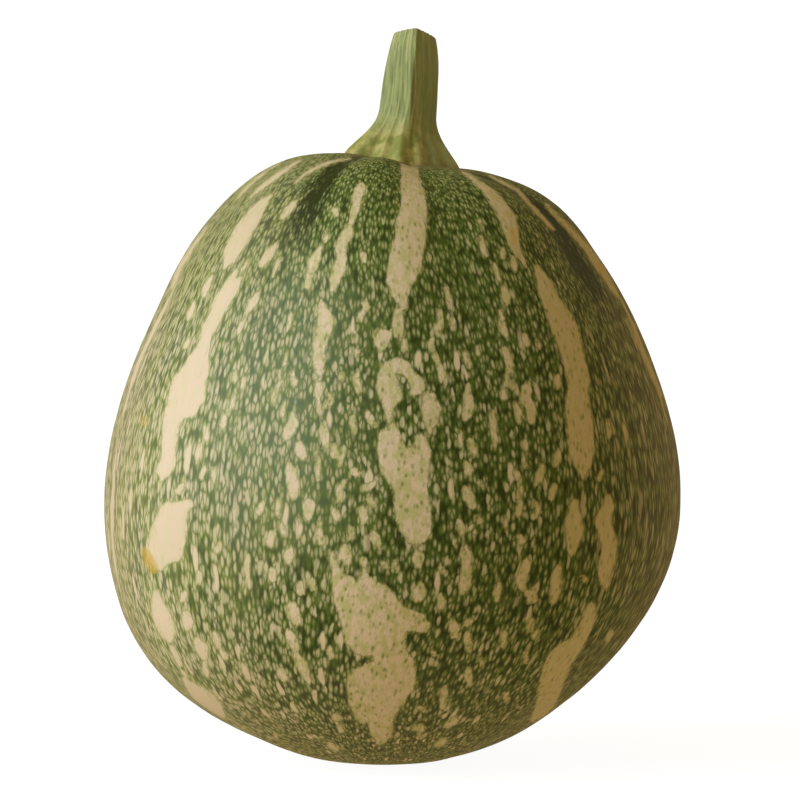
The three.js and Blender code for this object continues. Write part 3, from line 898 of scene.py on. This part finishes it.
# %% Grow the stalk
STALK_HEIGHT = 41 * MM
NECK_SHARE = 16 / 41                      # the share of the height where the flare ends
FOOT_RADIUS = 18.8 * MM
FOOT_X = 2.6 * MM
STALK_LEAN = 4 * MM
LEAN_CURVE = 0.8
SIDE = math.radians(72)
FIRST_ARRIS = math.radians(5)
ANGULARITY = 0.75                         # 0 is round, 1 a sharp pentagon
FOOT_LOBES = 0.16
CUT_HEIGHT = 228 * MM
CUT_SLANT = 0.44
CUT_SIDE_SLANT = 0.08
TOP_RADIUS = 6.8 * MM
SUNK_MIDDLE = 1.2                         # how far the foot is sunk, in millimetres
SUNK_EDGE = 0.6


def stalk_section(turn, rise):
    """The section as a share of the radius: a soft pentagon above, five lobes at the foot."""
    steps = (turn - FIRST_ARRIS) / SIDE
    from_arris = np.abs(steps - np.round(steps)) * SIDE
    shaft = 1 - ANGULARITY * (1 - math.cos(SIDE / 2) / np.cos(SIDE / 2 - from_arris))
    foot = 1 - FOOT_LOBES * (0.5 - 0.5 * np.cos(5 * from_arris))
    return blend(foot, shaft, smoothstep(rise, 0, NECK_SHARE))


def striae(turn, rise):
    """Fine ridges along the stalk, with small lobes between them at the foot; in metres."""
    wander = turn + 0.06 * np.sin(9 * rise)
    fine = 0.07 * np.cos(35 * wander) + 0.09 * np.cos(21 * wander + 1) + 0.04 * np.cos(55 * wander + 2)
    lobes = 0.6 * np.cos(15 * turn + 0.7) * (1 - smoothstep(rise, 0.04, 0.34))
    return (fine + lobes) * MM


CUT_POINTS = [(5, 40.9), (3.6, 40.75), (2.2, 40.5), (1.2, 39.8), (0, 39.5)]

stalk_outline = [on_outline(radius, 0) for radius in (0, 6, 12, 16, 18.8)]
stalk_outline += sweep((18.8, 0), (16.6, 4.5), (9.9, 9), (9.35, 16), 60)
stalk_outline += sweep((9.35, 16), (8.95, 25), (9.05, 32), (6.9, 40.6), 60)
stalk_outline += sweep((6.9, 40.6), (6.75, 41), (6.6, 41), (6.2, 41), 4)
stalk_outline += [on_outline(*point) for point in CUT_POINTS]
stalk = turned("stalk", stalk_outline, [(math.pi / 4, 30)] * 8, 0)

places, outward = corners_of(stalk)
radius, turn = polar(places)
rise = np.maximum(places[:, 2], 0) / STALK_HEIGHT
reach = radius * stalk_section(turn, rise) + striae(turn, rise) * smoothstep(radius, 2 * MM, 6 * MM)
foot_reach = np.where(rise > 0, FOOT_RADIUS * stalk_section(turn, 0 * rise), reach)
x = FOOT_X + STALK_LEAN * rise ** LEAN_CURVE + reach * np.sin(turn)
y = -reach * np.cos(turn)
below = zip(FOOT_X + foot_reach * np.sin(turn), -foot_reach * np.cos(turn))
crown_height = np.array([rind_tree.ray_cast(Vector((*spot, 1)), -UP)[0].z for spot in below])
foot = crown_height - blend(SUNK_MIDDLE, SUNK_EDGE, smoothstep(radius, 0, FOOT_RADIUS)) * MM
cut = CUT_HEIGHT - CUT_SLANT * (y + TOP_RADIUS) - CUT_SIDE_SLANT * x
stalk.data.vertices.foreach_set("co", np.stack([x, y, blend(foot, cut, rise)], axis=1).ravel())
stalk.data.update()
store(stalk, "cut", smoothstep(rise, 0.99, 1.0) * (1 - smoothstep(radius, 5.6 * MM, 6.4 * MM)))

# %% [markdown]
# ## The stalk's finish
# It is olive green and dry, streaked with straw along its length, yellow and green in patches at
# the flare and greyer on its right side in painted shade, with a brown line round the foot, partly
# its own colour and partly painted shade where it meets the rind, and a corky cut face.
# Streaks could be painted, but they only need a coordinate that runs up the stalk: Object
# coordinates squeezed along Z make long thin noise.

# %% Stalk finish
STALK_GREEN = (0.30, 0.35, 0.12)
STALK_OLIVE = (0.20, 0.23, 0.085)
STALK_STRAW = (0.44, 0.41, 0.19)
SHADE_GREEN = (0.25, 0.32, 0.17)
FLARE_YELLOW = (0.42, 0.37, 0.11)
FLARE_GREEN = (0.19, 0.20, 0.030)
CUT_CORK = (0.36, 0.29, 0.15)
BROWN_EDGE_AND_SHADE = (0.26, 0.17, 0.06)

bark = Finish("dry stalk")
stalk_place = bark.scaled(bark.node("ShaderNodeTexCoord", {}, {}, "Object"), (PER_METRE,) * 3)
stalk_level = bark.node("ShaderNodeSeparateXYZ", {}, {"Vector": stalk_place}, "Z")
stalk_side = stalk_level.other("X")
drawn_out = bark.scaled(bark.stirred(stalk_place, 6.0, 1.2), (1, 1, 0.06))
fibre = bark.noise(drawn_out, 1.0, 3.0)
broad_streak = bark.noise(drawn_out, 2.6)
patches = bark.noise(stalk_place, 4.5, 3.0)
at_flare = (stalk_level + patches * 8).rise(208, 194)
stalk_colour = bark.mix(fibre.rise(0.34, 0.66), STALK_OLIVE, STALK_GREEN)
stalk_colour = bark.mix(broad_streak.rise(0.48, 0.72) * 0.75, stalk_colour, STALK_STRAW)
flare_colour = bark.mix(patches.rise(0.40, 0.60), FLARE_GREEN, FLARE_YELLOW)
stalk_colour = bark.mix(at_flare * 0.8, stalk_colour, flare_colour)
# painted shade and the stalk's own brown: a brown line round the foot, where it meets the rind
foot_line_and_shade = (stalk_level + fibre * 7).rise(191, 186)
stalk_colour = bark.mix(foot_line_and_shade * 0.7, stalk_colour, BROWN_EDGE_AND_SHADE)
stalk_colour = bark.mix(stalk_side.rise(5, 12) * 0.5, stalk_colour, SHADE_GREEN)
stalk_colour = bark.mix(bark.attribute("cut"), stalk_colour, CUT_CORK)
stalk_relief = fibre + bark.noise(stalk_place, 0.8) * 0.3
stalk_normal = bark.node(
    "ShaderNodeBump", {}, {"Strength": 0.4, "Distance": 0.3 * MM, "Height": stalk_relief})
stalk_roughness = fibre * 0.2 + 0.5
bark.wear(
    stalk, Base_Color=stalk_colour, Roughness=stalk_roughness, Normal=stalk_normal, Specular_IOR_Level=0.2)

# %% [markdown]
# ## Put the pieces in the frame
# Nothing on a squash moves, so both pieces ride on the one body. Each stands for the CAD solid of
# the same shape, which stays in the simulation.

# %% Ride and replace
for piece, node, slot in [(rind, "fruit", "rind"), (stalk, "stem", "stalk")]:
    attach(piece, "root")
    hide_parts(node)
print("pieces:", rind.name, stalk.name)

# %% [markdown]
# ## Floor and light
# A wide white bowl serves as floor and backdrop from every side: flat in the middle, then curving
# up, so that no edge shows. It glows a little, to show as plain white, and it neither lights the
# fruit nor stands in the way of a light below it. A broad soft sun from the left is the key. A
# faint warm one from behind touches the right edge, one from below stands for what the paper
# throws back, and a dim warm world fills the shade. Suns are easier to tune than lamps, because
# their strength doesn't change with distance.

# %% Stage
bowl_outline = [on_outline(0, -0.3), on_outline(2600, -0.3)]
bowl_outline += sweep((2600, -0.3), (3800, 0), (4200, 500), (4200, 1800), 23)
floor = turned("floor", bowl_outline, [(math.pi, 48)] * 2, 0)
floor.visible_diffuse = floor.visible_glossy = floor.visible_shadow = False
paper = Finish("white paper")
paper.wear(
    floor, Base_Color=(0.14, 0.15, 0.17), Roughness=0.9, Emission_Color=(1, 1, 1), Emission_Strength=0.93)

# %% Lights
def sun(name, azimuth, elevation, strength, colour, softness):
    """A sun that shines from an azimuth and elevation; azimuth 0 is the camera's side."""
    light = bpy.data.lights.new(name, "SUN")
    light.energy = strength
    light.color = colour
    light.angle = math.radians(softness)
    lamp = bpy.data.objects.new(name, light)
    lamp.rotation_euler = (math.radians(90 - elevation), 0, math.radians(azimuth))
    bpy.context.collection.objects.link(lamp)
    print(name, "shines from", azimuth, "degrees round and", elevation, "up")


sun("key", azimuth=-69, elevation=25, strength=3.3, colour=(0.90, 1.0, 1.16), softness=50)
sun("rim", azimuth=120, elevation=12, strength=0.22, colour=(1.0, 0.80, 0.45), softness=60)
sun("floor glow", azimuth=-45, elevation=-68, strength=0.70, colour=(1.0, 0.86, 0.62), softness=90)

world = bpy.data.worlds.new("room")
bpy.context.scene.world = world
world.use_nodes = True
room = world.node_tree.nodes["Background"]
room.inputs["Color"].default_value = (1.0, 0.74, 0.37, 1)
room.inputs["Strength"].default_value = 0.41
bpy.context.scene.view_settings.view_transform = "Standard"
